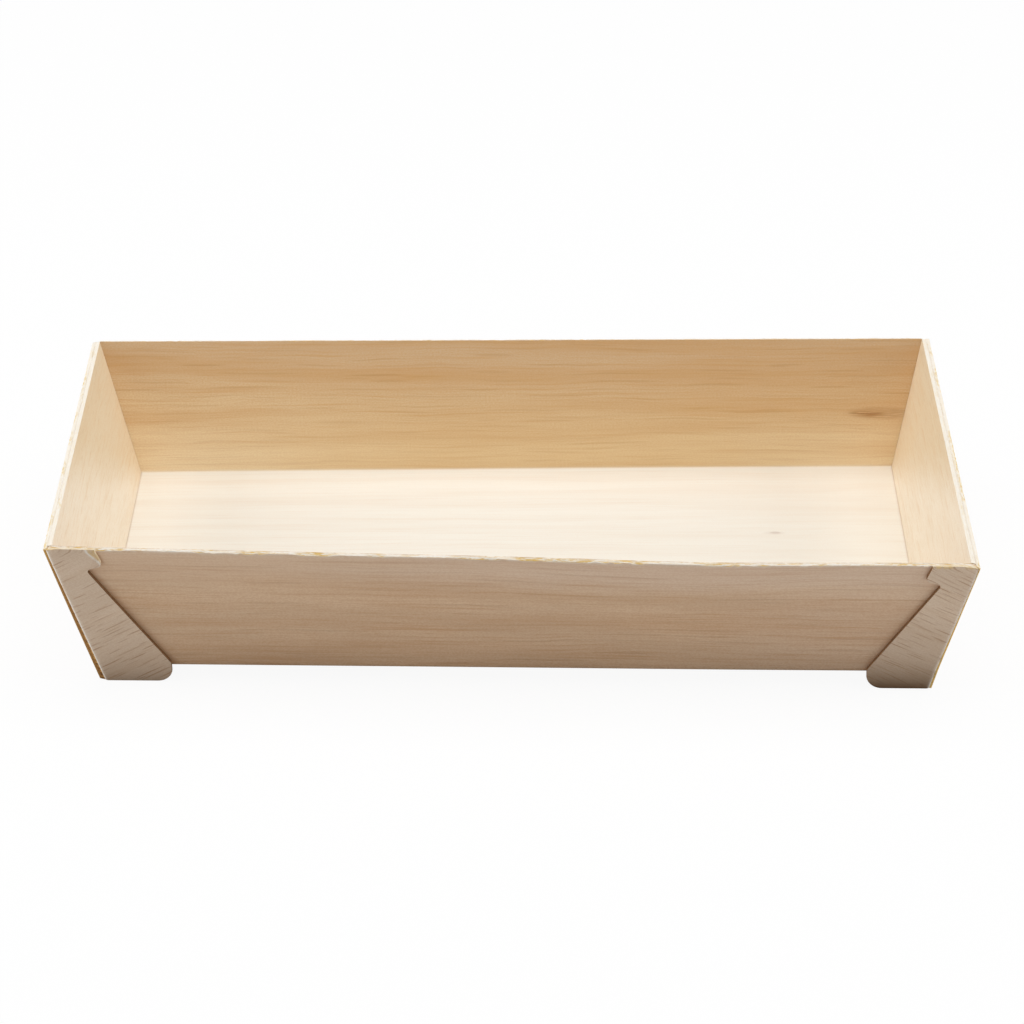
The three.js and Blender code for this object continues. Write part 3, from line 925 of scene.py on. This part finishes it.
class EndStrip:
    """Outer layer of one end: an end plate and two flaps folded round the corners at kerfs."""

    def __init__(self, end):
        self.end = end
        self.columns = strip_columns()
        self.webs = [step for step, (part, share) in enumerate(self.columns) if share == "web"]
        reach, down = flap_edge(end).T
        self.sheet = Sheet(np.arange(len(self.columns)), np.arange(len(down)), LAYERS)
        row = self.sheet.step[1]
        self.rim = row == 0
        self.free_x = RIM_CORNER[end] - reach[row]
        self.offset = STRIP_INNER + self.sheet.layer * (STRIP_OUTER - STRIP_INNER)
        depth = down[row] * (RIM_HEIGHT - self.offset * sin(LONG_LEAN))
        self.depth = depth / (RIM_HEIGHT - GLUED * sin(LONG_LEAN))
        self.y, self.along, self.wear_and_highlight = np.zeros((3, len(row)))
        self.wear_rim()
        self.place_corners()
        self.place_columns()

    def wear_rim(self):
        """Torn fibres and worn corners of the rim, and the line between the layers of the end."""
        layer = self.sheet.layer
        sign = ENDS[self.end]
        upper = self.depth < RIM_BAND
        self.ease = near(self.depth, RIM_EASE) * upper
        place = self.sheet.along * 2 * INNER_HALF_WIDTH / END_COLUMNS
        torn = np.zeros(len(layer))
        torn[upper] = ragged(place[upper], layer[upper], STRIP_RIM_SCARCE, seed=23.0 + sign)
        torn *= 0.25 + 0.75 * layer
        loss = STRIP_TORN_SHARE * rim_loss(torn, layer) + worn(layer, inner=0.0)
        self.depth = self.depth + loss * self.ease
        self.torn = torn * self.rim
        line = hairline(place[self.rim], layer[self.rim], END_RIM_LINE, seed=47.0 + sign)
        self.crack = np.zeros(len(layer))
        self.crack[self.rim] = line

    def place_corners(self):
        """Where the plate lies, and where it and the flaps start: at the inside corner on the inner
        face, and at the sides of the kerf on the outer face."""
        inward = 1 - self.sheet.layer
        depth = self.depth
        drop = depth * cos(LONG_LEAN)
        self.x = INNER_HALF_LENGTH - depth * sin(END_LEAN) + self.offset * cos(END_LEAN)
        self.z = RIM_HEIGHT - drop - self.offset * sin(LONG_LEAN)
        self.splay = FOOT_SPLAY[self.end] * np.clip(1 - self.z / SPLAY_HEIGHT, 0, 1)
        self.corner_x = INNER_HALF_LENGTH - depth * sin(END_LEAN) + STRIP_INNER * cos(END_LEAN)
        self.corner_y = INNER_HALF_WIDTH - depth * sin(LONG_LEAN) + STRIP_INNER * cos(LONG_LEAN)
        kerf_x = half_length_at(RIM_HEIGHT - drop - GLUED * sin(LONG_LEAN), KERF_OFFSET[self.end])
        self.kerf_x = kerf_x - KERF_OPENS[self.end] * depth / FLAP_DEPTH
        self.flap_start = self.kerf_x - inward * (self.kerf_x - self.corner_x + KERF_START)
        web = GLUED + FOLD_WEB[self.end]
        half = half_width_at(RIM_HEIGHT - drop - GLUED * sin(END_LEAN), web)
        self.plate_half = half - inward * (half - KERF_SLOPE - self.corner_y + KERF_START)
        self.across = depth.copy()
        self.kerf_torn_and_lit = KERF_TORN_AND_LIT_SHARE * near(depth, KERF_TORN_AND_LIT_DOWN[self.end])

    def tear(self, here, torn):
        """Adds torn fibres to a column."""
        self.torn[here] = np.maximum(self.torn[here], torn)

    def plate_column(self, here, share):
        """A column of the end plate, by its share of half the plate's width."""
        half = self.plate_half[here]
        self.y[here] = share * (half + (share < 0) * self.splay[here])
        self.z[here] -= PLATE_CORNER_WEAR * near((1 - share) * half, PLATE_CORNER_REACH) * self.ease[here]
        self.along[here] = self.y[here]
        self.wear_and_highlight[here] = near((1 - abs(share)) * half, PLATE_HIGHLIGHT_REACH)

    def web_column(self, here, part):
        """The uncut veneer at the bottom of a kerf."""
        depth = self.depth[here]
        web = self.sheet.layer[here] * (GLUED + FOLD_WEB[self.end] - STRIP_INNER)
        self.x[here] = self.corner_x[here] + web * cos(END_LEAN)
        self.y[here] = self.corner_y[here] + web * cos(LONG_LEAN) + self.splay[here] * (part == "front")
        self.z[here] -= CORNER_WEAR * self.ease[here] * (part == "back")
        self.along[here] = -depth * sin(FLAP_GRAIN_SLANT)
        self.across[here] = depth * cos(FLAP_GRAIN_SLANT)
        self.tear(here, self.kerf_torn_and_lit[here])

    def lip_column(self, here, part):
        """The edge of the end plate beside a kerf."""
        self.y[here] = self.plate_half[here] + self.splay[here] * (part == "front") - KERF_SLOPE
        self.z[here] -= PLATE_CORNER_WEAR * self.ease[here] * (part == "back")
        self.along[here] = self.y[here]
        self.wear_and_highlight[here] = LIP_HIGHLIGHT * self.sheet.layer[here]
        self.tear(here, self.kerf_torn_and_lit[here])

    def flap_column(self, here, part, share):
        """A column of a flap, by its share of the way from the kerf to the free edge."""
        skin = self.sheet.layer[here]
        depth = self.depth[here]
        lift = self.offset[here]
        free_x = self.free_x[here]
        if share == 1.0:
            slanting = np.isin(self.sheet.step[1][here], SLANT_STEPS)
            free_x = free_x + worn(skin) - SLANT_CUT[self.end] * (1 - skin) * slanting
        start = self.flap_start[here]
        self.x[here] = start + share * (free_x - start)
        from_kerf = share * np.abs(free_x - self.kerf_x[here])
        roll = ROLL_DEPTH * np.clip(1 - from_kerf / ROLL_REACH, 0, 1) ** 2
        thinned = FLAP_THINNED * near(depth, THINNED_REACH)
        chip_highlight = 0.0
        if (self.end, part) == (CHIPPED_END, "front"):
            from_corner = np.abs(free_x - self.x[here]) / NOSE_CHIP[0] + depth / NOSE_CHIP[1]
            broken = np.clip((1 - from_corner) / CHIP_SIDE, 0, 1)
            thinned = np.maximum(thinned, NOSE_CHIP[2] * broken)
            self.tear(here, CHIP_TORN * broken)
            middle, width, strength = CHIP_HIGHLIGHT_LINE
            chip_highlight = strength * np.exp(-(((from_corner - middle) / width) ** 2))
        wall = INNER_HALF_WIDTH - depth * sin(LONG_LEAN)
        self.y[here] = wall + (lift - (roll + thinned) * skin) * cos(LONG_LEAN)
        self.y[here] += self.splay[here] * (part == "front")
        level = FLAP_LEVEL[part] * lift * sin(LONG_LEAN) * np.clip(from_kerf / LEVEL_REACH, 0, 1)
        ease = self.ease[here]
        self.z[here] += level * (self.rim[here] if part == "front" else ease)
        self.z[here] -= CORNER_WEAR * near(from_kerf, CORNER_REACH) * ease * (part == "back")
        from_fold = self.kerf_x[here] - self.x[here]
        slant = FLAP_GRAIN_SLANT
        self.along[here] = from_fold * cos(slant) - depth * sin(slant)
        self.across[here] = from_fold * sin(slant) + depth * cos(slant)
        # Painted highlight on the rolled fold beside the kerf and on the ridge round the chip
        self.wear_and_highlight[here] = np.maximum(near(from_kerf - FLAP_HIGHLIGHT[0], FLAP_HIGHLIGHT[1]), chip_highlight)
        self.tear(here, KERF_RIM_TORN[0] * self.rim[here] * near(from_kerf, KERF_RIM_TORN[1]))

    def place_columns(self):
        """Works out each column of the sheet, and turns those of the front to their side."""
        for step, (part, share) in enumerate(self.columns):
            here = self.sheet.along == step
            if part == "plate":
                self.plate_column(here, share)
                continue
            if share == "web":
                self.web_column(here, part)
            elif share == "lip":
                self.lip_column(here, part)
            else:
                self.flap_column(here, part, share)
            self.y[here] *= SIDES[part]
            self.along[here] += FLAPS_APART * SIDES[part]

    def painted_shade(self):
        """Painted shade on the outer face, near the table and at the rim."""
        on_plate = np.array([part == "plate" for part, share in self.columns])[self.sheet.step[0]]
        painted_shade = FOOT_SHADE[self.end] * np.where(on_plate, PLATE_SHADE, 1.0) * near(self.z, SHADE_HEIGHT)
        return (painted_shade + RIM_SHADE[self.end] * near(self.depth, SHADE_HEIGHT)) * (self.sheet.layer == 1)

    def finish_at(self, face, first, second):
        """Kerfs and free edges are cut brown; the rim stays pale, and so do the noses of the left flaps,
        as painted light on edges that face the light.
        """
        front_web, back_web = self.webs
        kerfs = (front_web - 1, front_web, back_web - 1, back_web)
        if face[0] == 2:
            return "kerf" if face == OUTER_FACE and first in kerfs else "face"
        if face == (1, 0):
            return "rim" if front_web < first < back_web - 1 else "flap"
        # The free edges of the left noses take the pale finish: painted light
        return "flap" if face[0] == 0 and first < NOSE_STEPS and self.end == "left" else "free"

    def make(self):
        points = np.stack([ENDS[self.end] * self.x, self.y, np.maximum(self.z, 0)], -1)
        grain = np.stack([self.along + STRIPS_APART * ENDS[self.end], self.across, self.offset], -1)
        marks = {"wear_and_highlight": self.wear_and_highlight, "torn": self.torn, "painted_shade": self.painted_shade(), "crack": self.crack}
        finishes = {
            "free": free_cut, "kerf": kerf_cut[self.end], "face": strip_face,
            "rim": end_rim, "flap": flap_rim,
        }
        node = f"{self.end}_end_strip"
        make_piece(node, self.sheet, points, grain, marks, finishes, self.finish_at)


folded_trough()
for end in ENDS:
    end_panel(end)
    EndStrip(end).make()


def table_top():
    """A plain pale table that the tray stands on, white to the camera but for the soft shadow."""
    f = Finish(bpy.data.materials.new("pale_table"))
    seen = f.node("LightPath", output=0)
    cloud = f.mottle(f.node("TexCoord", output=3), (0.4, 0.4, 0.4), 2.0)
    colour = f.mix(cloud, TABLE_TONE, TABLE_PALE_TONE)
    colour = f.mix(seen, colour, WHITE)
    surface = f.node("BsdfDiffuse", {"Color": colour})
    white = f.node("Emission", {"Color": WHITE, "Strength": 1.0})
    shown = f.node("MixShader", {0: seen * TABLE_WHITE, 1: surface, 2: white})
    f.node("OutputMaterial", {"Surface": shown})
    mesh = bpy.data.meshes.new("table_top")
    reach = TABLE_REACH
    corners = [(-reach, -reach, 0), (reach, -reach, 0), (reach, reach, 0), (-reach, reach, 0)]
    mesh.from_pydata(corners, [], [(0, 1, 2, 3)])
    mesh.materials.append(f.owner)
    top = bpy.data.objects.new("table_top", mesh)
    top.location.z = -TABLE_GAP * METRES
    bpy.context.scene.collection.objects.link(top)


def softbox(name, place, width, depth, power):
    """A lamp that is aimed at the middle of the table."""
    lamp = bpy.data.lights.new(name, "AREA")
    lamp.shape = "RECTANGLE"
    lamp.size = width
    lamp.size_y = depth
    lamp.energy = power
    box = bpy.data.objects.new(name, lamp)
    box.location = place
    box.rotation_euler = (-Vector(place)).to_track_quat("-Z", "Y").to_euler()
    bpy.context.scene.collection.objects.link(box)


def studio_light():
    """A softbox overhead, one to each side, and an even white surround."""
    softbox("overhead_softbox", (0.0, 0.1, 1.0), 1.3, 0.9, OVERHEAD_POWER)
    softbox("left_softbox", (-1.1, -0.1, 0.45), 0.8, 0.8, LEFT_POWER)
    softbox("right_softbox", (1.1, -0.1, 0.45), 0.8, 0.8, RIGHT_POWER)
    world = bpy.data.worlds.new("white_surround")
    bpy.context.scene.world = world
    f = Finish(world)
    seen = f.node("LightPath", output=0)
    soft = f.node("Background", {"Color": WHITE, "Strength": SURROUND})
    white = f.node("Background", {"Color": WHITE, "Strength": 1.0})
    shown = f.node("MixShader", {0: seen, 1: soft, 2: white})
    f.node("OutputWorld", {"Surface": shown})


def camera():
    """A long lens at the height of someone seated, aimed at the middle of the tray."""
    elevation = radians(VIEW_ELEVATION)
    azimuth = radians(VIEW_AZIMUTH)
    roll = radians(VIEW_ROLL)
    look = Vector((sin(azimuth) * cos(elevation), cos(azimuth) * cos(elevation), -sin(elevation)))
    level = look.cross(Vector((0, 0, 1))).normalized()
    upright = level.cross(look)
    right = level * cos(roll) + upright * sin(roll)
    up = upright * cos(roll) - level * sin(roll)
    aim = right * VIEW_AIM_RIGHT + up * VIEW_AIM_UP
    data = bpy.data.cameras.new("camera")
    data.lens = LENS
    data.sensor_width = SENSOR
    data.clip_start = 0.01
    view = bpy.data.objects.new("camera", data)
    turn = Matrix((right, up, -look)).transposed().to_4x4()
    view.matrix_world = Matrix.Translation((aim - look * VIEW_DISTANCE) * METRES) @ turn
    bpy.context.scene.collection.objects.link(view)
    bpy.context.scene.camera = view


table_top()
studio_light()
camera()
bpy.context.scene.view_settings.view_transform = "Standard"
